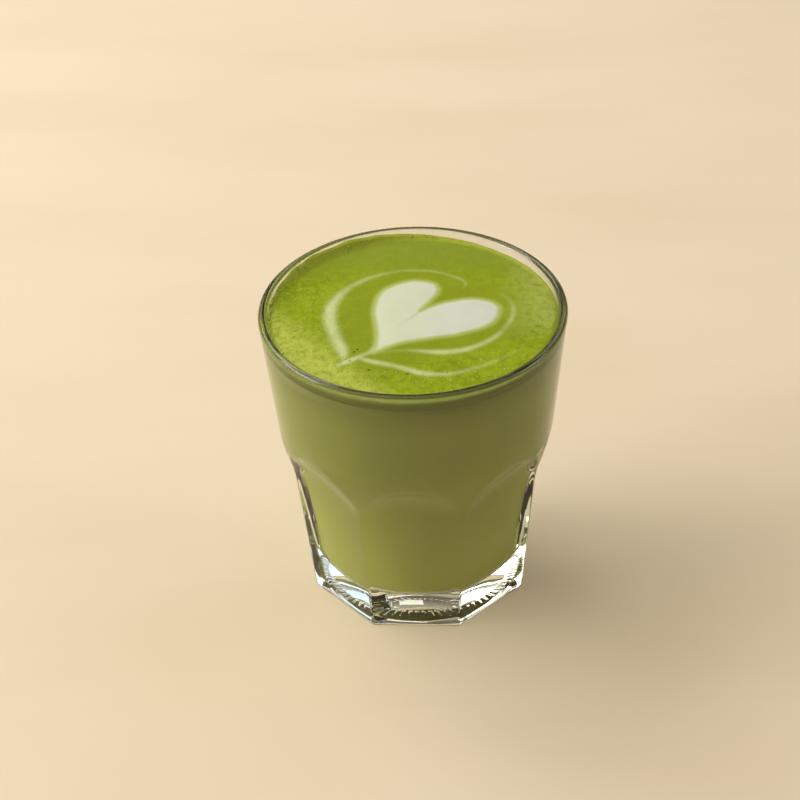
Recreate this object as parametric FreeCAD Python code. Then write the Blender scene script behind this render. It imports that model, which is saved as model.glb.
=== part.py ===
import FreeCAD, Part
import math
import os

# A matcha latte in its tumbler, built in millimetres.  The origin is the middle of the
# base, +Z points up, and one of the eight flat panels faces -Y.  The pressed glass is
# round above its shoulder and eight-sided below it.  The latte fills the round cavity,
# a layer of green foam lies on it, and a heart of white milk foam is set in that foam.

# tumbler, outside
rim_diameter = 85.0
glass_height = 91.0
lip_wall = 2.2
shoulder_radius = 39.4
shoulder_height = 57.5
shoulder_bulge = 0.35
panel_count = 8
base_corner_radius = 32.8
panel_corner_radius = 37.0
panel_side_height = 46.0
panel_arch_rise = 4.5
panel_cut_margin = 0.3
panel_overcut = 2.4
panel_draw = 2.0
base_edge_round = 1.2
foot_ring_radius = 24.0
underside_hollow = 1.5

# tumbler, inside
base_thickness = 8.0
bottom_wall = 7.7
bottom_corner_round = 6.0
waist_height = 43.0
waist_wall = 4.8
shoulder_wall = 3.0
inner_shoulder_height = 59.5

# drink
foam_below_rim = 3.0
foam_thickness = 2.5

# milk heart: its length from tip to lobes, the place of its middle and its depth
heart_length = 36.0
heart_middle = (5.0, -0.5)
heart_depth = 1.2
heart_crown = 0.2

rim_radius = rim_diameter / 2
lip_round = lip_wall / 2
foam_top = glass_height - foam_below_rim
foam_bottom = foam_top - foam_thickness
half_panel = math.pi / panel_count
panel_arch_height = panel_side_height + panel_arch_rise


def profile_point(radius, height):
    return FreeCAD.Vector(radius, 0, height)


def line(start, end):
    return Part.LineSegment(profile_point(*start), profile_point(*end)).toShape()


def arc(start, middle, end):
    return Part.Arc(profile_point(*start), profile_point(*middle), profile_point(*end)).toShape()


def turned(edges):
    """The solid that a closed profile in the XZ plane sweeps round the Z axis."""
    face = Part.Face(Part.Wire(edges))
    return face.revolve(FreeCAD.Vector(0, 0, 0), FreeCAD.Vector(0, 0, 1), 360)


def between(low, high, share):
    return low + (high - low) * share


# ---- the panels, which the tumbler's outside and its cavity both follow


def corner_radius(height):
    """Radius of the ridge between two panels."""
    return between(base_corner_radius, panel_corner_radius, height / panel_side_height)


def panel_distance(height):
    """Distance of a panel's middle from the axis."""
    return corner_radius(height) * math.cos(half_panel)


# ---- the cavity's wall, shared by the glass, the latte and the foam

cavity_rim = (rim_radius - lip_wall, glass_height - lip_round)
cavity_shoulder = (shoulder_radius - shoulder_wall, inner_shoulder_height)
cavity_waist = (panel_distance(waist_height) - waist_wall, waist_height)
bottom_round_height = base_thickness + bottom_corner_round
bottom_radius = panel_distance(bottom_round_height) - bottom_wall
cavity_bottom_round = (bottom_radius, bottom_round_height)


def cavity_radius(height):
    """Radius of the straight wall above the shoulder."""
    share = (height - cavity_shoulder[1]) / (cavity_rim[1] - cavity_shoulder[1])
    return between(cavity_shoulder[0], cavity_rim[0], share)


def waist_curve():
    """The S that carries the lower wall's line smoothly into the upper wall's."""
    low = profile_point(*cavity_waist)
    high = profile_point(*cavity_shoulder)
    spline = Part.BSplineCurve()
    spline.interpolate(
        Points=[low, (low + high) / 2, high],
        InitialTangent=low - profile_point(*cavity_bottom_round),
        FinalTangent=profile_point(*cavity_rim) - high,
    )
    return spline.toShape()


def cavity_edges(level):
    """Bottom, rounded corner, waist and straight wall of the cavity, up to a level."""
    flat_radius = bottom_radius - bottom_corner_round
    turn = bottom_corner_round * (1 - math.cos(math.pi / 4))
    return [
        line((0, base_thickness), (flat_radius, base_thickness)),
        arc(
            (flat_radius, base_thickness),
            (bottom_radius - turn, base_thickness + turn),
            cavity_bottom_round,
        ),
        line(cavity_bottom_round, cavity_waist),
        waist_curve(),
        line(cavity_shoulder, (cavity_radius(level), level)),
    ]


# ---- the tumbler


def round_body():
    """The tumbler as turned, before its panels are cut."""
    foot = (base_corner_radius + panel_cut_margin, 0)
    waist = (panel_corner_radius + panel_cut_margin, panel_side_height)
    shoulder = (shoulder_radius, shoulder_height)
    waist_middle = ((waist[0] + shoulder[0]) / 2 + shoulder_bulge, (waist[1] + shoulder[1]) / 2)
    lip_outside = (rim_radius, glass_height - lip_round)
    lip_top = (rim_radius - lip_round, glass_height)
    outside = [
        line((foot_ring_radius, 0), foot),
        line(foot, waist),
        arc(waist, waist_middle, shoulder),
        line(shoulder, lip_outside),
        arc(lip_outside, lip_round_point(1), lip_top),
        arc(lip_top, lip_round_point(-1), cavity_rim),
    ]
    hollow_top = (0, underside_hollow)
    hollow_middle = (foot_ring_radius / 2, underside_hollow * 3 / 4)
    underside = [line((0, base_thickness), hollow_top), arc(hollow_top, hollow_middle, (foot_ring_radius, 0))]
    return turned(underside + outside + cavity_edges(cavity_rim[1]))


def lip_round_point(side):
    """The point halfway round the lip, on its outer (1) or inner (-1) side."""
    reach = lip_round * math.cos(math.pi / 4)
    return (rim_radius - lip_round + side * reach, glass_height - lip_round + reach)


def panel_cutter():
    """What is cut away outside one panel: a window with an arched top, drawn outwards and upwards."""
    half_width = panel_corner_radius * math.sin(half_panel)
    arch_radius = (half_width**2 + panel_arch_rise**2) / (2 * panel_arch_rise)
    reach = half_width + panel_overcut
    arch_end = panel_arch_height - arch_radius + math.sqrt(arch_radius**2 - reach**2)

    def window_point(sideways, height):
        return FreeCAD.Vector(sideways, -panel_distance(height), height)

    low_left = window_point(-reach, -panel_side_height)
    low_right = window_point(reach, -panel_side_height)
    left = window_point(-reach, arch_end)
    right = window_point(reach, arch_end)
    window = Part.Wire([
        Part.LineSegment(low_left, low_right).toShape(),
        Part.LineSegment(low_right, right).toShape(),
        Part.Arc(right, window_point(0, panel_arch_height), left).toShape(),
        Part.LineSegment(left, low_left).toShape(),
    ])
    outward = shoulder_radius - panel_distance(panel_arch_height)
    upward = shoulder_height - panel_arch_height
    to_shoulder = FreeCAD.Vector(0, -outward, upward)
    return Part.Face(window).extrude(to_shoulder * panel_draw)


def tumbler():
    body = round_body()
    cutter = panel_cutter()
    for number in range(panel_count):
        turned_cutter = cutter.copy()
        turned_cutter.rotate(FreeCAD.Vector(0, 0, 0), FreeCAD.Vector(0, 0, 1), number * 360 / panel_count)
        body = body.cut(turned_cutter)
    base_edges = [
        edge
        for edge in body.Edges
        if edge.BoundBox.ZMax < base_edge_round / 2 and edge.Curve.TypeId == "Part::GeomLine"
    ]
    return body.makeFillet(base_edge_round, base_edges)


# ---- the drink


def latte():
    """The drink under the foam, filling the cavity."""
    top = (cavity_radius(foam_bottom), foam_bottom)
    closing = [line(top, (0, foam_bottom)), line((0, foam_bottom), (0, base_thickness))]
    return turned(cavity_edges(foam_bottom) + closing)


def heart_face(height):
    """The milk heart's outline, a curve down its right side and one down its left."""
    right_side = [(-0.08, 0.08), (0.06, 0.18), (0.3, 0.25), (0.47, 0.2), (0.53, 0.09),
                  (0.46, -0.11), (0.23, -0.24), (0.0, -0.3), (-0.22, -0.37), (-0.41, -0.49)]
    left_side = [(-0.41, -0.49), (-0.41, -0.22), (-0.45, 0.09), (-0.39, 0.36), (-0.18, 0.5),
                 (0.0, 0.47), (0.05, 0.37), (0.01, 0.24), (-0.08, 0.08)]

    def side(points):
        spline = Part.BSplineCurve()
        spline.interpolate([
            FreeCAD.Vector(heart_middle[0] + x * heart_length, heart_middle[1] + y * heart_length, height)
            for x, y in points
        ])
        return spline.toShape()

    return Part.Face(Part.Wire([side(right_side), side(left_side)]))


def milk_heart():
    """The heart of milk foam, sunk into the green foam with its top just proud of it."""
    return heart_face(foam_top - heart_depth).extrude(FreeCAD.Vector(0, 0, heart_depth + heart_crown))


def foam():
    """The green foam, wall to wall, with a pocket that the heart fills."""
    low_rim = (cavity_radius(foam_bottom), foam_bottom)
    high_rim = (cavity_radius(foam_top), foam_top)
    layer = turned([
        line((0, foam_bottom), low_rim),
        line(low_rim, high_rim),
        line(high_rim, (0, foam_top)),
        line((0, foam_top), (0, foam_bottom)),
    ])
    return layer.cut(milk_heart())


os.makedirs("parts", exist_ok=True)
nodes = {"glass": tumbler(), "latte": latte(), "foam": foam(), "milk_heart": milk_heart()}
for name, shape in nodes.items():
    shape.exportStep(f"parts/{name}.step")
    box = shape.BoundBox
    print(name, shape.isValid(), len(shape.Solids), "volume ml", round(shape.Volume / 1000, 2),
          "box", [round(v, 2) for v in (box.XMin, box.YMin, box.ZMin, box.XMax, box.YMax, box.ZMax)])
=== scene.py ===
import math
import random

import bmesh
import bpy
import numpy as np
from mathutils import Matrix, Vector, noise


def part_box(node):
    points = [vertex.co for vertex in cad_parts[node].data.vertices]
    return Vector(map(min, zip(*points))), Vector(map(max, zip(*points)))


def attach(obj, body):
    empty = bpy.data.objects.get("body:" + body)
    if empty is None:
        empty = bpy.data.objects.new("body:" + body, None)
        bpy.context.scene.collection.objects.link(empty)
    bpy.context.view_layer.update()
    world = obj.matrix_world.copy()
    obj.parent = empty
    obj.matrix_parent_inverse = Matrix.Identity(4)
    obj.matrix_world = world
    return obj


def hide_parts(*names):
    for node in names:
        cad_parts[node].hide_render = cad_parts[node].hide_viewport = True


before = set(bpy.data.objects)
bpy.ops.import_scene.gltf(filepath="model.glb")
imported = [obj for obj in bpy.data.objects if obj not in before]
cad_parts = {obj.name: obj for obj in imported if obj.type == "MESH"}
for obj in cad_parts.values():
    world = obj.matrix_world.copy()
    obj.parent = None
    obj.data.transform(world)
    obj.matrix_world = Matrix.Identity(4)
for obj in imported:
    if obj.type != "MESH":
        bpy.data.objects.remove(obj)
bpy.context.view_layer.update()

# ---------------------------------------------------------------------------
# The tumbler.  Clear pressed glass, round above its shoulder and with eight
# flat, arched panels below it.  Its hollowed underside carries a ring of grip
# bars.  It is turned from one profile, and then the panels are pressed in.

MM = 0.001
glass_low, glass_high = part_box("glass")
latte_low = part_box("latte")[0]
foam_low, foam_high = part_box("foam")

glass_height = glass_high.z / MM
rim_radius = (glass_high.x - glass_low.x) / 2 / MM
lip_wall = 2.2
lip_round = lip_wall / 2
shoulder = (39.4, 57.5)
shoulder_bulge = 0.35
panel_count = 8
half_panel = math.pi / panel_count
base_corner_radius = 32.8
panel_corner_radius = 37.0
panel_side_height = 46.0
panel_arch_rise = 4.5
ridge_margin = 0.3
ridge_softness = 0.9
bend_softness = 3.2
base_edge_round = 1.2
foot_ring_radius = 24.0
underside_hollow = 1.5
grip_ring = (17.5, 22.0)
grip_bars = 60
grip_height = 0.08
grip_start, grip_full = -0.2, 0.5
foot_edge_heights = (0.12, 0.35, 0.7, 1.2)
tumbler_segments = 384
close_by = 0.01

cavity_floor = latte_low.z / MM
bottom_wall = 7.7
bottom_corner_round = 6.0
waist_height = 43.0
waist_wall = 4.8
shoulder_wall = 3.0
inner_shoulder_height = 59.5


def between(low, high, share):
    return low + (high - low) * share


def smooth_step(low, high, value):
    share = min(max((value - low) / (high - low), 0.0), 1.0)
    return share * share * (3 - 2 * share)


def soft_min(a, b, softness):
    share = min(max(0.5 + 0.5 * (b - a) / softness, 0.0), 1.0)
    return between(b, a, share) - softness * share * (1 - share)


def corner_radius(height):
    return between(base_corner_radius, panel_corner_radius, height / panel_side_height)


def panel_distance(height):
    return corner_radius(height) * math.cos(half_panel)


arch_top = panel_side_height + panel_arch_rise
arch_half_width = panel_corner_radius * math.sin(half_panel)
flare_slope = (shoulder[0] - panel_distance(arch_top)) / (shoulder[1] - arch_top)


def pressed_in(point):
    """Where a point of the turned outside goes when the panels are pressed in, in millimetres."""
    radius = math.hypot(point.x, point.y)
    height = point.z
    angle = math.atan2(point.y, point.x) + math.pi / 2
    off_middle = (angle + half_panel) % (2 * half_panel) - half_panel
    sideways = radius * math.sin(off_middle) / arch_half_width
    arch = panel_side_height + panel_arch_rise * (1 - sideways * sideways)
    flat = panel_distance(height)
    flare = panel_distance(arch) + (height - arch) * flare_slope
    limit = -soft_min(-flat, -flare, bend_softness)
    if height < base_edge_round:
        limit -= base_edge_round - math.sqrt(base_edge_round**2 - (base_edge_round - height) ** 2)
    share = soft_min(radius, limit / math.cos(off_middle), ridge_softness) / radius
    return Vector((point.x * share, point.y * share, height))


def steps(start, end, count):
    """Points from start towards end, in count equal steps, without the start."""
    return [tuple(between(a, b, i / count) for a, b in zip(start, end)) for i in range(1, count + 1)]


def round_steps(centre, radius, first_degrees, last_degrees, count):
    """Points on an arc of the profile, without its first."""
    turns = [math.radians(between(first_degrees, last_degrees, i / count)) for i in range(1, count + 1)]
    return [(centre[0] + radius * math.cos(t), centre[1] + radius * math.sin(t)) for t in turns]


def bowed_steps(start, end, bow, count):
    """Points from start to end that bow outwards by bow at the middle."""
    straight = steps(start, end, count)
    return [(r + bow * 4 * i * (count - i) / count**2, z) for i, (r, z) in enumerate(straight, 1)]


cavity_rim = (rim_radius - lip_wall, glass_height - lip_round)
cavity_shoulder = (shoulder[0] - shoulder_wall, inner_shoulder_height)
cavity_waist = (panel_distance(waist_height) - waist_wall, waist_height)
bottom_round_height = cavity_floor + bottom_corner_round
bottom_radius = panel_distance(bottom_round_height) - bottom_wall
cavity_bottom_round = (bottom_radius, bottom_round_height)


def cavity_wall_radius(height):
    """The cavity's radius above its bottom round, in millimetres."""
    if height >= cavity_shoulder[1]:
        share = (height - cavity_shoulder[1]) / (cavity_rim[1] - cavity_shoulder[1])
        return between(cavity_shoulder[0], cavity_rim[0], share)
    if height <= cavity_waist[1]:
        share = (height - bottom_round_height) / (cavity_waist[1] - bottom_round_height)
        return between(bottom_radius, cavity_waist[0], share)
    share = (height - cavity_waist[1]) / (cavity_shoulder[1] - cavity_waist[1])
    return between(cavity_waist[0], cavity_shoulder[0], smooth_step(0, 1, share))


def cavity_profile(top):
    """The cavity from its middle up to a height, in millimetres."""
    flat = bottom_radius - bottom_corner_round
    corner = round_steps((flat, bottom_round_height), bottom_corner_round, -90, 0, 8)
    low = [(cavity_wall_radius(z), z) for _, z in steps(cavity_bottom_round, cavity_waist, 8)]
    waist = [(cavity_wall_radius(z), z) for _, z in steps(cavity_waist, cavity_shoulder, 18)]
    high = [(cavity_wall_radius(z), z) for _, z in steps(cavity_shoulder, (0, top), 8)]
    middle = (0, cavity_floor)
    return [middle] + steps(middle, (flat, cavity_floor), 5) + corner + low + waist + high


def spun(profile, segments):
    """A mesh turned round the Z axis from profile points of (radius, height) in millimetres."""
    form = bmesh.new()
    chain = [form.verts.new((r * MM, 0, z * MM)) for r, z in profile]
    for first, second in zip(chain, chain[1:]):
        form.edges.new((first, second))
    bmesh.ops.spin(
        form, geom=form.verts[:] + form.edges[:], cent=(0, 0, 0), axis=(0, 0, 1),
        angle=2 * math.pi, steps=segments, use_merge=True, use_duplicate=False,
    )
    bmesh.ops.remove_doubles(form, verts=form.verts[:], dist=1e-6)
    bmesh.ops.recalc_face_normals(form, faces=form.faces[:])
    return form


def finished(form, name, smooth=True):
    """The bmesh as a piece of the object."""
    mesh = bpy.data.meshes.new(name)
    form.to_mesh(mesh)
    form.free()
    mesh.polygons.foreach_set("use_smooth", [smooth] * len(mesh.polygons))
    piece = bpy.data.objects.new(name, mesh)
    bpy.context.scene.collection.objects.link(piece)
    return piece


waist_start = (panel_corner_radius + ridge_margin, panel_side_height)
foot_edge = base_corner_radius + ridge_margin
underside_rings = steps((0, 0), (foot_ring_radius, 0), 48)
outside = (
    [(0, underside_hollow)]
    + [(r, underside_hollow * (1 - (r / foot_ring_radius) ** 2)) for r, _ in underside_rings]
    + [(foot_edge, 0)]
    + [(corner_radius(z) + ridge_margin, z) for z in foot_edge_heights]
    + steps((foot_edge, base_edge_round), waist_start, 16)
    + bowed_steps(waist_start, shoulder, shoulder_bulge, 24)
    + steps(shoulder, (rim_radius, glass_height - lip_round), 10)
    + round_steps((rim_radius - lip_round, glass_height - lip_round), lip_round, 0, 180, 12)
)
inside = cavity_profile(cavity_rim[1])[:0:-1][1:] + [(0, cavity_floor)]
tumbler_form = spun(outside + inside, tumbler_segments)
for vert in tumbler_form.verts:
    place = vert.co / MM
    radius = math.hypot(place.x, place.y)
    wall_radius = cavity_wall_radius(max(place.z, bottom_round_height))
    in_cavity = place.z >= cavity_floor - close_by and radius < wall_radius + 2 * close_by
    if in_cavity or radius < close_by:
        continue
    if place.z > base_edge_round - close_by or radius > foot_ring_radius + 0.5:
        vert.co = pressed_in(place) * MM
    elif grip_ring[0] < radius < grip_ring[1]:
        bar = math.cos(math.atan2(place.y, place.x) * grip_bars)
        vert.co.z += grip_height * MM * smooth_step(grip_start, grip_full, bar)
tumbler = finished(tumbler_form, "glass_tumbler")


class Wire:
    """A value in a material's nodes.  Sums on it add Math nodes."""

    def __init__(self, finish, socket):
        self.finish = finish
        self.socket = socket

    def maths(self, operation, first, second):
        return self.finish.node("ShaderNodeMath", {"operation": operation}, {0: first, 1: second})

    def __add__(self, other):
        return self.maths("ADD", self, other)

    def __radd__(self, other):
        return self.maths("ADD", other, self)

    def __sub__(self, other):
        return self.maths("SUBTRACT", self, other)

    def __rsub__(self, other):
        return self.maths("SUBTRACT", other, self)

    def __mul__(self, other):
        return self.maths("MULTIPLY", self, other)

    def __rmul__(self, other):
        return self.maths("MULTIPLY", other, self)


class Finish:
    """A procedural material round one Principled shader."""

    def __init__(self, name):
        self.material = bpy.data.materials.new(name)
        self.material.use_nodes = True
        self.tree = self.material.node_tree
        self.shader = self.tree.nodes["Principled BSDF"]
        self.output = self.tree.nodes["Material Output"]

    def node(self, kind, settings, inputs, output=0):
        """Adds a node: its settings first, then the values or wires of its sockets."""
        made = self.tree.nodes.new(kind)
        for key, value in settings.items():
            if key == "stops":
                while len(made.color_ramp.elements) < len(value):
                    made.color_ramp.elements.new(0.5)
                for stop, (position, colour) in zip(made.color_ramp.elements, value):
                    stop.position = position
                    stop.color = colour
            else:
                setattr(made, key, value)
        for key, value in inputs.items():
            self.feed(made.inputs[key], value)
        return Wire(self, made.outputs[output])

    def feed(self, socket, value):
        if isinstance(value, Wire):
            self.tree.links.new(value.socket, socket)
        else:
            socket.default_value = value

    def set(self, **sockets):
        """Feeds the shader's sockets, named with _ for a space."""
        for key, value in sockets.items():
            self.feed(self.shader.inputs[key.replace("_", " ")], value)

    def place(self):
        """The piece's own coordinates, in metres."""
        return self.node("ShaderNodeTexCoord", {}, {}, "Object")

    def height(self):
        """Height above the floor, in metres."""
        return self.node("ShaderNodeSeparateXYZ", {}, {0: self.place()}, 2)

    def across(self):
        """The place sideways and lengthways, in metres."""
        parts = self.node("ShaderNodeSeparateXYZ", {}, {0: self.place()})
        return parts, Wire(self, parts.socket.node.outputs[1])

    def map(self, name):
        """A number that the piece carries at each point."""
        return self.node("ShaderNodeAttribute", {"attribute_name": name}, {}, "Fac")

    def grain(self, scale, detail=2.0, stretch=(1, 1, 1)):
        """Soft noise about 1 / scale metres across."""
        spread = self.node("ShaderNodeMapping", {}, {"Vector": self.place(), "Scale": stretch})
        return self.node("ShaderNodeTexNoise", {}, {"Vector": spread, "Scale": scale, "Detail": detail})

    def spots(self, scale, randomness=1.0):
        """Distance to scattered points about 1 / scale metres apart."""
        return self.node(
            "ShaderNodeTexVoronoi", {}, {"Vector": self.place(), "Scale": scale, "Randomness": randomness}
        )

    def ramp(self, value, low, high, bottom=0.0, top=1.0):
        """value eased from bottom to top as it goes from low to high."""
        return self.node(
            "ShaderNodeMapRange", {"interpolation_type": "SMOOTHSTEP"},
            {"Value": value, "From Min": low, "From Max": high, "To Min": bottom, "To Max": top},
        )

    def blend(self, share, first, second, how="MIX"):
        """One colour turning into another."""
        settings = {"data_type": "RGBA", "blend_type": how}
        return self.node("ShaderNodeMix", settings, {0: share, 6: first, 7: second}, 2)

    def bump(self, height, strength, distance):
        return self.node("ShaderNodeBump", {}, {"Height": height, "Strength": strength, "Distance": distance})


def tint(red, green, blue):
    """A colour as a shader wants it, from its 0 to 255 values on a screen."""
    def linear(value):
        share = value / 255
        return share / 12.92 if share <= 0.04045 else ((share + 0.055) / 1.055) ** 2.4
    return (linear(red), linear(green), linear(blue), 1.0)


glass = Finish("pressed_glass")
ripple = glass.grain(90, 1.0, (1, 1, 0.6))
smudge = glass.grain(60, 4.0)
lip = glass.ramp(glass.height(), 0.0875, 0.0895, 0.0, 0.16)
glass.set(
    Base_Color=glass.blend(glass.ramp(smudge, 0.35, 0.7), tint(250, 252, 249), tint(244, 248, 242)),
    Roughness=glass.ramp(smudge, 0.5, 0.75, 0.0, 0.03) + lip,
    IOR=1.52,
    Transmission_Weight=1.0,
    Normal=glass.bump(ripple, 0.12, 0.001),
)
paths = glass.tree.nodes.new("ShaderNodeLightPath")
lets_light_in = glass.node(
    "ShaderNodeMath", {"operation": "MAXIMUM"},
    {0: Wire(glass, paths.outputs["Is Shadow Ray"]), 1: Wire(glass, paths.outputs["Is Diffuse Ray"])},
)
clear = glass.node("ShaderNodeBsdfTransparent", {}, {"Color": tint(238, 242, 236)})
both = glass.node(
    "ShaderNodeMixShader", {}, {0: lets_light_in, 1: Wire(glass, glass.shader.outputs[0]), 2: clear}
)
glass.feed(glass.output.inputs["Surface"], both)
tumbler.data.materials.append(glass.material)
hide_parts("glass")
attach(tumbler, "root")

# ---------------------------------------------------------------------------
# The latte.  Milk whisked with powdered green tea: an opaque, soft olive
# liquid that fills the cavity.  Its skin reaches just into the glass, and seen
# at a low angle through the glass it mirrors, as a wetted wall does.

into_wall = 0.06
latte_segments = 256
foam_bottom = foam_low.z / MM
latte_profile = [(r + into_wall if r > 1 else r, z) for r, z in cavity_profile(foam_bottom)]
latte_profile = [(r, z - into_wall if z < cavity_floor + 1 else z) for r, z in latte_profile]
latte = finished(spun(latte_profile + [(0, foam_bottom)], latte_segments), "latte_drink")

drink = Finish("milky_green_tea")
cloud = drink.grain(35, 3.0, (1, 1, 0.5))
cloud_and_painted_light = drink.blend(drink.ramp(cloud, 0.3, 0.7), tint(142, 149, 60), tint(150, 157, 65))
# Painted light: the drink is painted lighter towards the bottom, for the light the floor throws up on it, and
# darker from 48 mm up, as painted shade.
cloud_and_painted_light = drink.blend(drink.ramp(drink.height(), 0.012, 0.05, 0.9, 0.0), cloud_and_painted_light, tint(172, 177, 84))
cloud_and_painted_light = drink.blend(drink.ramp(drink.height(), 0.048, 0.068, 0.0, 0.4), cloud_and_painted_light, tint(128, 134, 50))
under_foam = drink.ramp(drink.height(), 0.074, 0.086)
drink.set(
    Base_Color=drink.blend(under_foam * 0.55, cloud_and_painted_light, tint(104, 110, 22)),
    Roughness=0.5,
    Specular_IOR_Level=0.15,
    Normal=drink.bump(cloud, 0.05, 0.001),
)
drink_in_glass = 1.35 / 1.52
underside = drink.ramp(drink.height(), 0.0088, 0.0115, 0.85, 0.0)
mirrored = drink.node(
    "ShaderNodeMath", {"operation": "MAXIMUM"},
    {0: drink.node("ShaderNodeFresnel", {}, {"IOR": drink_in_glass}), 1: underside},
)
mirror = drink.node("ShaderNodeBsdfGlossy", {}, {"Color": tint(250, 252, 246), "Roughness": 0.02})
wetted = drink.node(
    "ShaderNodeMixShader", {}, {0: mirrored, 1: Wire(drink, drink.shader.outputs[0]), 2: mirror}
)
drink.feed(drink.output.inputs["Surface"], wetted)
latte.data.materials.append(drink.material)
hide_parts("latte")
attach(latte, "root")

# ---------------------------------------------------------------------------
# The foam.  A thin layer of bright green froth from wall to wall.  Milk poured
# last has drawn rings and a tail in it round the heart, and the froth clings
# to the glass above its own level, most at the back.

foam_level = foam_high.z / MM
foam_segments = 512
foam_rows = 112
foam_edge = cavity_wall_radius(foam_level) + into_wall
cling_low = 0.0
cling_high = 2.2
cling_reach = 0.7
cling_towards = math.radians(125)
cling_spread = 2.5
cling_ragged = 0.45
swell_height = 0.1
swell_width = 6
milk_line_fade = 0.7

# Each milk line: points of x, y and half width in millimetres, and how white it is there.
milk_lines = {
    "outer": [
        (13.1, 13.2, 0.5, 0.2), (14.2, 15.5, 0.6, 0.35), (12.8, 18.1, 0.7, 0.4),
        (8.7, 20.9, 0.7, 0.38), (3.9, 22.4, 0.7, 0.36), (-0.8, 22.8, 0.8, 0.36),
        (-5.6, 22.2, 0.9, 0.36), (-10.2, 20.4, 1.0, 0.4), (-14.3, 18.0, 1.1, 0.45),
        (-17.4, 15.0, 1.2, 0.5), (-20.4, 10.7, 1.4, 0.6), (-22.4, 5.7, 1.6, 0.75),
        (-22.9, 0.7, 1.8, 0.85), (-22.2, -5.0, 1.8, 0.85), (-20.4, -11.4, 1.8, 0.85),
        (-18.4, -16.6, 1.6, 0.8), (-17.5, -20.1, 1.2, 0.6),
    ],
    "tail": [
        (-8.6, -15.3, 1.4, 0.8), (-10.7, -17.7, 1.0, 0.65), (-12.9, -19.4, 0.9, 0.6),
        (-15.0, -21.0, 1.0, 0.75), (-17.1, -22.5, 1.0, 0.7), (-19.6, -24.8, 0.7, 0.35),
    ],
    "lowest": [
        (-13.7, -20.2, 0.9, 0.6), (-10.0, -22.0, 1.1, 0.75), (-5.5, -23.5, 1.1, 0.7),
        (-1.0, -25.3, 1.1, 0.7), (3.5, -27.4, 1.2, 0.75), (7.9, -27.9, 1.1, 0.65),
        (12.3, -27.2, 1.0, 0.5), (16.7, -25.4, 0.9, 0.4), (21.0, -22.9, 0.9, 0.33),
        (24.5, -20.2, 0.8, 0.28), (29.0, -16.5, 0.8, 0.2), (32.0, -11.0, 0.8, 0.08),
    ],
    "right": [
        (-12.9, -19.3, 0.7, 0.3), (-7.5, -17.6, 0.8, 0.3), (-2.2, -16.9, 0.9, 0.35), (2.5, -17.0, 1.0, 0.5),
        (5.4, -17.4, 1.1, 0.65), (9.8, -17.6, 1.2, 0.7), (14.3, -16.5, 1.2, 0.65), (18.7, -14.0, 1.1, 0.6),
        (23.1, -9.7, 1.0, 0.5), (26.2, -4.0, 0.9, 0.45), (27.6, 1.3, 0.9, 0.4), (27.1, 6.2, 0.8, 0.3),
        (25.2, 9.6, 0.8, 0.2), (22.0, 11.5, 0.7, 0.08),
    ],
}
burst_bubbles = [(-15.0, -17.7), (-10.5, -26.0), (-0.2, -27.8), (-14.2, -16.6), (-24.6, 1.8)]
heart_length = 36.0
heart_middle = (5.0, -0.5)
heart_right = [(-0.08, 0.08), (0.06, 0.18), (0.3, 0.25), (0.47, 0.2), (0.53, 0.09),
               (0.46, -0.11), (0.23, -0.24), (0.0, -0.3), (-0.22, -0.37), (-0.41, -0.49)]
heart_left = [(-0.41, -0.49), (-0.41, -0.22), (-0.45, 0.09), (-0.39, 0.36), (-0.18, 0.5),
              (0.0, 0.47), (0.05, 0.37), (0.01, 0.24), (-0.08, 0.08)]
heart_seam = [(3.2, 3.7, 0.4, 1.0), (0.6, -0.1, 0.4, 0.8), (-2.0, -3.3, 0.5, 0.5), (-4.2, -5.8, 0.5, 0.1)]


def flowing(points, per_span):
    """A smooth line through points, as rows of an array."""
    rows = np.array([points[0], *points, points[-1]], float)
    share = np.linspace(0, 1, per_span, endpoint=False)[:, None]
    runs = []
    for a, b, c, d in zip(rows, rows[1:], rows[2:], rows[3:]):
        bend = 2 * a - 5 * b + 4 * c - d + share * (3 * (b - c) + d - a)
        runs.append(b + 0.5 * share * (c - a + share * bend))
    return np.vstack(runs + [rows[-1:]])


def heart_outline():
    """The heart's outline in millimetres, from its notch round and back."""
    sides = np.vstack([flowing(heart_right, 10)[:-1], flowing(heart_left, 10)[:-1]])
    return sides * heart_length + np.array(heart_middle)


def distance_to_line(spots, line):
    """The distance of each spot from a line of points, and where along the line it is nearest."""
    best = np.full(len(spots), 1e9)
    nearest = np.zeros(len(spots))
    for number, (start, end) in enumerate(zip(line, line[1:])):
        along = end - start
        share = np.clip((spots - start) @ along / max(along @ along, 1e-12), 0, 1)
        away = np.hypot(*(spots - start - share[:, None] * along).T)
        closer = away < best
        best[closer] = away[closer]
        nearest[closer] = number + share[closer]
    return best, nearest


def inside_outline(spots, outline):
    """True for each spot inside a closed outline."""
    inside = np.zeros(len(spots), bool)
    for (ax, ay), (bx, by) in zip(outline, np.roll(outline, -1, 0)):
        crosses = (ay > spots[:, 1]) != (by > spots[:, 1])
        height = by - ay if by != ay else 1e-12
        inside ^= crosses & (spots[:, 0] < ax + (spots[:, 1] - ay) * (bx - ax) / height)
    return inside


def heart_distance(spots):
    """Millimetres from the heart's edge, less than nothing inside it."""
    outline = heart_outline()
    away, _ = distance_to_line(spots, np.vstack([outline, outline[:1]]))
    return np.where(inside_outline(spots, outline), -away, away)


def line_veil(spots, points):
    """How white one drawn line is at each spot, from 0 to 1, fading out to its sides."""
    line = flowing(points, 6)
    away, nearest = distance_to_line(spots, line[:, :2])
    places = np.arange(len(line))
    half = np.interp(nearest, places, line[:, 2])
    white = np.interp(nearest, places, line[:, 3])
    return white * np.exp(-((away / half) ** 2) * milk_line_fade)


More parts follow.
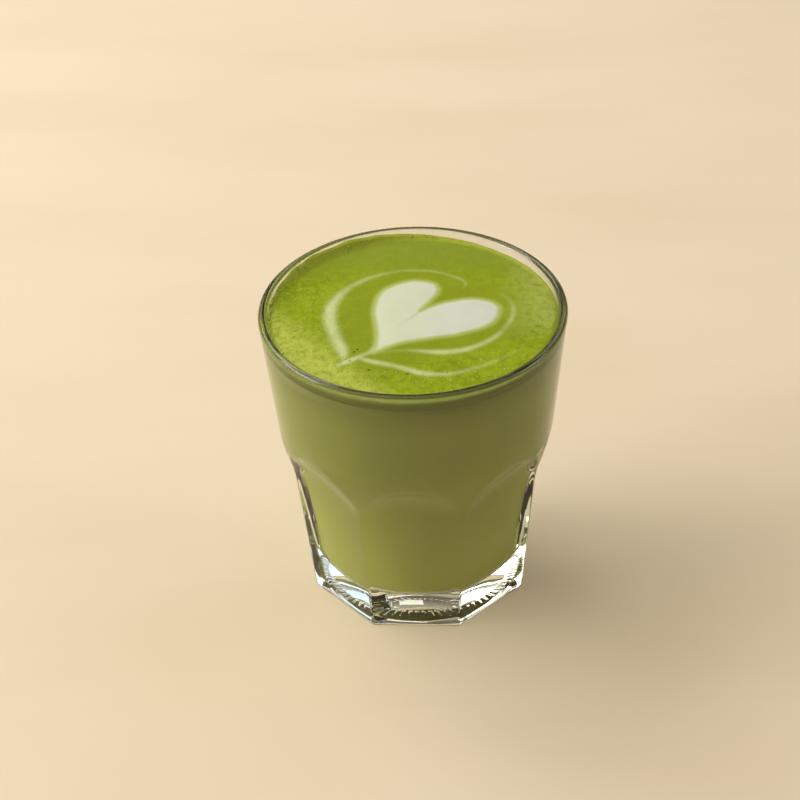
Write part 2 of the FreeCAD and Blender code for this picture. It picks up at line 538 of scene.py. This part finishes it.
def milk_veil(spots):
    """How white the drawn milk lines are at each spot, from 0 to 1."""
    return np.max([line_veil(spots, points) for points in milk_lines.values()], axis=0)


def foam_swell(point):
    """How far the froth's soft unevenness lifts it at a point, in millimetres."""
    return swell_height * noise.noise(Vector((point.x, point.y, 0)) / MM / swell_width)


def cling(angle):
    """How far the froth clings up the glass at an angle, in millimetres."""
    towards = max(math.cos(angle - cling_towards), 0.0) ** cling_spread
    ragged = noise.noise(Vector((math.cos(angle) * 7, math.sin(angle) * 7, 0)))
    return between(cling_low, cling_high, towards) + cling_ragged * ragged * between(0.3, 1.0, towards)


foam_profile = [(0, foam_bottom), (cavity_wall_radius(foam_bottom) + into_wall, foam_bottom)]
foam_profile += [(foam_edge * (1 - i / foam_rows), foam_level) for i in range(foam_rows + 1)]
foam_form = spun(foam_profile, foam_segments)
for vert in foam_form.verts:
    radius = math.hypot(vert.co.x, vert.co.y) / MM
    if vert.co.z / MM > foam_level - close_by and radius > 1:
        rise = cling(math.atan2(vert.co.y, vert.co.x)) * math.exp((radius - foam_edge) / cling_reach)
        vert.co.z += (rise + foam_swell(vert.co)) * MM
        if radius > foam_edge - close_by:
            wider = (cavity_wall_radius(vert.co.z / MM) + into_wall) / radius
            vert.co.x *= wider
            vert.co.y *= wider
foam = finished(foam_form, "foam_layer")


def add_map(piece, name, values):
    """A number for each point of the piece, for its material."""
    layer = piece.data.attributes.new(name, "FLOAT", "POINT")
    layer.data.foreach_set("value", values)


def add_milk_maps(piece):
    """What the froth's material needs to know at each point of a piece."""
    flat = np.zeros(len(piece.data.vertices) * 3)
    piece.data.vertices.foreach_get("co", flat)
    spots = flat.reshape(-1, 3)[:, :2] / MM
    add_map(piece, "from_heart", heart_distance(spots))
    add_map(piece, "milk_veil", milk_veil(spots))
    add_map(piece, "heart_seam", line_veil(spots, heart_seam))
    add_map(piece, "from_wall", foam_edge - np.hypot(*spots.T))
    pits = [np.hypot(*(spots - np.array(pit)).T) for pit in burst_bubbles]
    add_map(piece, "from_pit", np.min(pits, axis=0))


def froth(finish):
    """Green froth with drawn milk in it, for the foam and for the heart, whose edges run into it."""
    from_heart = finish.map("from_heart")
    veil = finish.map("milk_veil")
    from_wall = finish.map("from_wall")
    fine = finish.grain(1100, 3.0)
    mottle = finish.grain(420, 4.0)
    broad = finish.grain(95, 2.0)
    cells = finish.spots(1250)
    sideways, lengthways = finish.across()
    calm = finish.ramp(from_heart, 6.0, 12.0, 1.0, 0.0)
    calm_back = finish.ramp(lengthways, 0.012, 0.026)
    calm = finish.node("ShaderNodeMath", {"operation": "MAXIMUM"}, {0: calm, 1: calm_back})
    lively = 1 - calm * 0.8
    front_left = finish.ramp(lengthways * -0.66 + sideways * -0.75, 0.023, 0.034)
    green = finish.blend(finish.ramp(broad, 0.35, 0.65), tint(133, 151, 6), tint(150, 167, 17))
    green = finish.blend(calm * 0.7, green, tint(142, 156, 30))
    # Painted sheen: the back of the froth is painted a greyer, bluer green, for the light it reflects there.
    green = finish.blend(finish.ramp(lengthways, 0.018, 0.034) * 0.75, green, tint(137, 154, 48))
    green = finish.blend(finish.ramp(mottle, 0.45, 0.72) * lively * 0.6, green, tint(164, 180, 36))
    green = finish.blend(finish.ramp(mottle, 0.5, 0.3) * lively * 0.4, green, tint(116, 135, 4))
    green = finish.blend(front_left * finish.ramp(mottle, 0.1, 0.62) * 0.85, green, tint(198, 208, 92))
    green = finish.blend(finish.ramp(fine, 0.56, 0.72) * lively * 0.45, green, tint(188, 200, 84))
    green = finish.blend(finish.ramp(cells, 0.0, 0.3, 0.2, 0.0) * lively, green, tint(110, 128, 6))
    at_right = finish.ramp(sideways, 0.022, 0.036) * finish.ramp(lengthways, -0.014, 0.0)
    green = finish.blend(at_right * finish.ramp(mottle, 0.2, 0.6) * 0.55, green, tint(178, 188, 104))
    near_wall = finish.ramp(from_wall, 0.2, 2.2, 1.0, 0.0)
    at_back = finish.ramp(lengthways, -0.005, 0.02)
    film = near_wall * at_back * finish.ramp(mottle, 0.2, 0.5)
    green = finish.blend(film * 0.95, green, tint(182, 190, 64))
    green = finish.blend(near_wall * (1 - at_back) * 0.8, green, tint(112, 124, 26))
    # The burst bubbles' pits are painted dark: partly the darker drink that shows in them, partly painted
    # shade in hollows that the mesh does not have.
    pit = finish.ramp(finish.map("from_pit"), 0.25, 0.55, 1.0, 0.0)
    green = finish.blend(pit, green, tint(84, 100, 16))
    torn = (mottle - 0.5) * 0.2 * finish.ramp(veil, 0.0, 0.4)
    wisps = veil * (0.85 + finish.ramp(broad, 0.3, 0.7) * 0.3) + torn
    green = finish.blend(finish.ramp(wisps, 0.05, 1.0), green, tint(210, 219, 154))
    ragged = from_heart + (mottle - 0.5) * 0.7 + (fine - 0.5) * 0.3
    halo = finish.ramp(ragged, -0.4, 1.5, 1.0, 0.0)
    green = finish.blend(halo * 0.75, green, tint(190, 204, 110))
    # Painted light: the heart's right side is painted a cooler, bluer white than its left, for the light
    # falling on it.
    white = finish.blend(finish.ramp(sideways, -0.004, 0.012), tint(219, 226, 194), tint(218, 223, 206))
    white = finish.blend(finish.map("heart_seam") * 0.55, white, tint(176, 190, 128))
    white = finish.blend(finish.ramp(mottle, 0.45, 0.75) * 0.3, white, tint(224, 228, 208))
    heart = finish.ramp(ragged, -1.5, -0.1, 1.0, 0.0)
    colour = finish.blend(heart, green, white)
    below = finish.ramp(finish.height(), 0.0872, 0.0878, 1.0, 0.0)
    colour = finish.blend(below, colour, tint(104, 110, 24))
    relief = (fine - 0.5) * 0.5 + (mottle - 0.5) * 0.5 + finish.ramp(cells, 0.0, 0.3) * 0.4
    return colour, relief * (1 - heart * 0.75) * (1 - calm * 0.5)


froth_finish = Finish("green_froth")
froth_colour, froth_relief = froth(froth_finish)
froth_finish.set(
    Base_Color=froth_colour,
    Roughness=froth_finish.ramp(froth_relief, 0.0, 0.6, 0.42, 0.6),
    Specular_IOR_Level=0.1,
    Normal=froth_finish.bump(froth_relief, 0.8, 0.0004),
)
foam.data.materials.append(froth_finish.material)
add_milk_maps(foam)
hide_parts("foam")
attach(foam, "root")

# ---------------------------------------------------------------------------
# The bubbles.  Coarse froth that stands on the foam: a fringe of it along the
# glass at the left, and loose bubbles from there round to the front right.
# Each is a small ball of green froth, sunk almost to its middle.

fringe_bubbles = 110
loose_bubbles = 240
bubble_dice = random.Random(7)
bubbles_form = bmesh.new()


def add_bubble(x, y, radius, level):
    place = Matrix.Translation((x * MM, y * MM, (level + radius * 0.15) * MM))
    bmesh.ops.create_icosphere(bubbles_form, subdivisions=2, radius=radius * MM, matrix=place)


def in_fringe():
    """A place along the glass, thickest at the left."""
    angle = math.radians(bubble_dice.gauss(172, 26))
    radius = foam_edge - 0.25 - abs(bubble_dice.gauss(0, 0.7))
    rise = max(cling(angle), 0) * math.exp((radius - foam_edge) / cling_reach)
    return radius * math.cos(angle), radius * math.sin(angle), foam_level + rise


def loose():
    """A place on the lively parts of the froth, at the left and the front."""
    angle = math.radians(bubble_dice.uniform(150, 320))
    radius = foam_edge - 2 - 12 * bubble_dice.random() ** 1.5
    return radius * math.cos(angle), radius * math.sin(angle), foam_level


for _ in range(fringe_bubbles):
    x, y, level = in_fringe()
    add_bubble(x, y, bubble_dice.uniform(0.12, 0.3), level)
for _ in range(loose_bubbles):
    x, y, level = loose()
    add_bubble(x, y, bubble_dice.uniform(0.1, 0.24), level)
bubbles = finished(bubbles_form, "foam_bubbles")

bubble_finish = Finish("bubble_skin")
sheen = bubble_finish.grain(700, 2.0)
bubble_finish.set(
    Base_Color=bubble_finish.blend(
        bubble_finish.ramp(sheen, 0.4, 0.6), tint(172, 186, 62), tint(200, 210, 108)
    ),
    Roughness=0.3,
    Normal=bubble_finish.bump(sheen, 0.2, 0.0002),
)
bubbles.data.materials.append(bubble_finish.material)
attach(bubbles, "root")

# ---------------------------------------------------------------------------
# The milk heart.  White milk foam poured through the green froth: a low,
# lopsided heart, thickest along its middle, whose edge runs into the green.

heart_crown = 0.2
heart_depth = 1.2
heart_margin = 0.9
heart_cell = 0.36
heart_shoulder = 5.0
edge_sink = 0.06
heart_form = bmesh.new()
heart_cells = int(heart_length * 1.2 / heart_cell)
bmesh.ops.create_grid(
    heart_form, x_segments=heart_cells, y_segments=heart_cells, size=heart_length * 0.6 * MM,
    matrix=Matrix.Translation((heart_middle[0] * MM, heart_middle[1] * MM, foam_level * MM)),
)
heart_spots = np.array([vert.co[:2] for vert in heart_form.verts]) / MM
away_from_heart = heart_distance(heart_spots)
outer_verts = [vert for vert, away in zip(heart_form.verts, away_from_heart) if away > heart_margin]
for vert, away in zip(heart_form.verts, away_from_heart):
    crown = heart_crown * smooth_step(heart_margin, -heart_shoulder, away)
    sunk = edge_sink * smooth_step(0.2, heart_margin, away)
    vert.co.z += (foam_swell(vert.co) + crown - sunk) * MM
bmesh.ops.delete(heart_form, geom=outer_verts, context="VERTS")
heart_top = heart_form.faces[:]
body = bmesh.ops.extrude_face_region(heart_form, geom=heart_top, use_keep_orig=True)
for vert in (item for item in body["geom"] if isinstance(item, bmesh.types.BMVert)):
    vert.co.z = (foam_level - heart_depth) * MM
bmesh.ops.recalc_face_normals(heart_form, faces=heart_form.faces[:])
heart = finished(heart_form, "milk_heart_foam")

milk = Finish("milk_froth")
milk_colour, milk_relief = froth(milk)
milk.set(
    Base_Color=milk_colour,
    Roughness=milk.ramp(milk_relief, 0.0, 0.5, 0.4, 0.5),
    Specular_IOR_Level=0.3,
    Normal=milk.bump(milk_relief, 0.4, 0.0003),
)
heart.data.materials.append(milk.material)
add_milk_maps(heart)
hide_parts("milk_heart")
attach(heart, "root")

# ---------------------------------------------------------------------------
# The studio: a plain pale floor, soft lights and a camera that looks down on
# the glass.  A film of air lies between the floor and the foot of the glass.

air_film = 0.15
floor_size = 3.0
floor_form = bmesh.new()
bmesh.ops.create_grid(
    floor_form, x_segments=1, y_segments=1, size=floor_size,
    matrix=Matrix.Translation((0, 0, -air_film * MM)),
)
floor = finished(floor_form, "studio_floor", smooth=False)
paper = Finish("studio_paper")
fibre = paper.grain(14, 4.0, (0.3, 1, 1))
paper.set(
    Base_Color=paper.blend(paper.ramp(fibre, 0.35, 0.7), tint(240, 223, 195), tint(235, 217, 188)),
    Roughness=0.85,
    Specular_IOR_Level=0.1,
)
floor.data.materials.append(paper.material)


def soft_light(name, size, power, distance, turn_degrees, height_degrees, colour):
    """An area light that looks at the drink from a direction."""
    light = bpy.data.lights.new(name, "AREA")
    light.shape = "RECTANGLE"
    light.size, light.size_y = size
    light.energy = power
    light.color = colour
    turned_by, raised_by = math.radians(turn_degrees), math.radians(height_degrees)
    aim = Vector((0, 0, 0.05))
    flat_out = Vector((math.cos(turned_by), math.sin(turned_by), 0)) * math.cos(raised_by)
    out = flat_out + Vector((0, 0, math.sin(raised_by)))
    holder = bpy.data.objects.new(name, light)
    holder.location = aim + out * distance
    holder.rotation_euler = out.to_track_quat("Z", "Y").to_euler()
    bpy.context.scene.collection.objects.link(holder)


soft_light("window_key", (1.4, 1.0), 12.1, 1.6, 150, 45, (1.0, 0.98, 0.94))
soft_light("left_panel", (0.9, 0.8), 14.5, 1.5, 187, 21, (1.0, 0.99, 0.94))
soft_light("right_panel", (0.8, 0.5), 3.5, 1.5, 3, 18, (1.0, 0.95, 0.84))
soft_light("back_window", (0.7, 0.7), 1.3, 1.5, 122, 38, (1.0, 0.99, 0.98))
soft_light("back_lamp", (0.16, 0.3), 0.15, 1.4, 96, 38, (1.0, 0.95, 0.86))
soft_light("cool_panel", (0.6, 0.6), 1.7, 1.5, 54, 38, (0.6, 0.8, 1.0))

world = bpy.data.worlds.new("studio_air")
world.use_nodes = True
air = world.node_tree
direction = air.nodes.new("ShaderNodeTexCoord")
split = air.nodes.new("ShaderNodeSeparateXYZ")
fade = air.nodes.new("ShaderNodeValToRGB")
fade.color_ramp.elements[0].position = 0.55
fade.color_ramp.elements[0].color = tint(132, 118, 106)
fade.color_ramp.elements[1].position = 0.85
fade.color_ramp.elements[1].color = tint(242, 232, 216)
air.links.new(direction.outputs["Generated"], split.inputs[0])
air.links.new(split.outputs["Z"], fade.inputs["Fac"])
air.links.new(fade.outputs["Color"], air.nodes["Background"].inputs["Color"])
air.nodes["Background"].inputs["Strength"].default_value = 0.64
bpy.context.scene.world = world
bpy.context.scene.view_settings.view_transform = "Standard"

camera_lens = 90.0
camera_distance = 14.158 * rim_radius * MM
camera_elevation = math.radians(36.267)
camera_turn = math.radians(4.06)
camera_roll = math.radians(2.167)
aim_right = -0.146 * rim_radius * MM
aim_up = 1.12 * rim_radius * MM

camera = bpy.data.objects.new("camera", bpy.data.cameras.new("camera"))
camera.data.lens = camera_lens
camera.data.sensor_width = 36.0
turn = Matrix.Rotation(camera_turn, 3, "Z")
back = turn @ Vector((0, -math.cos(camera_elevation), math.sin(camera_elevation)))
level_right = turn @ Vector((1, 0, 0))
level_up = back.cross(level_right)
right = level_right * math.cos(camera_roll) - level_up * math.sin(camera_roll)
up = level_right * math.sin(camera_roll) + level_up * math.cos(camera_roll)
stance = Matrix((right, up, back)).transposed().to_4x4()
stance.translation = right * aim_right + up * aim_up + back * camera_distance
camera.matrix_world = stance
bpy.context.scene.collection.objects.link(camera)
bpy.context.scene.camera = camera
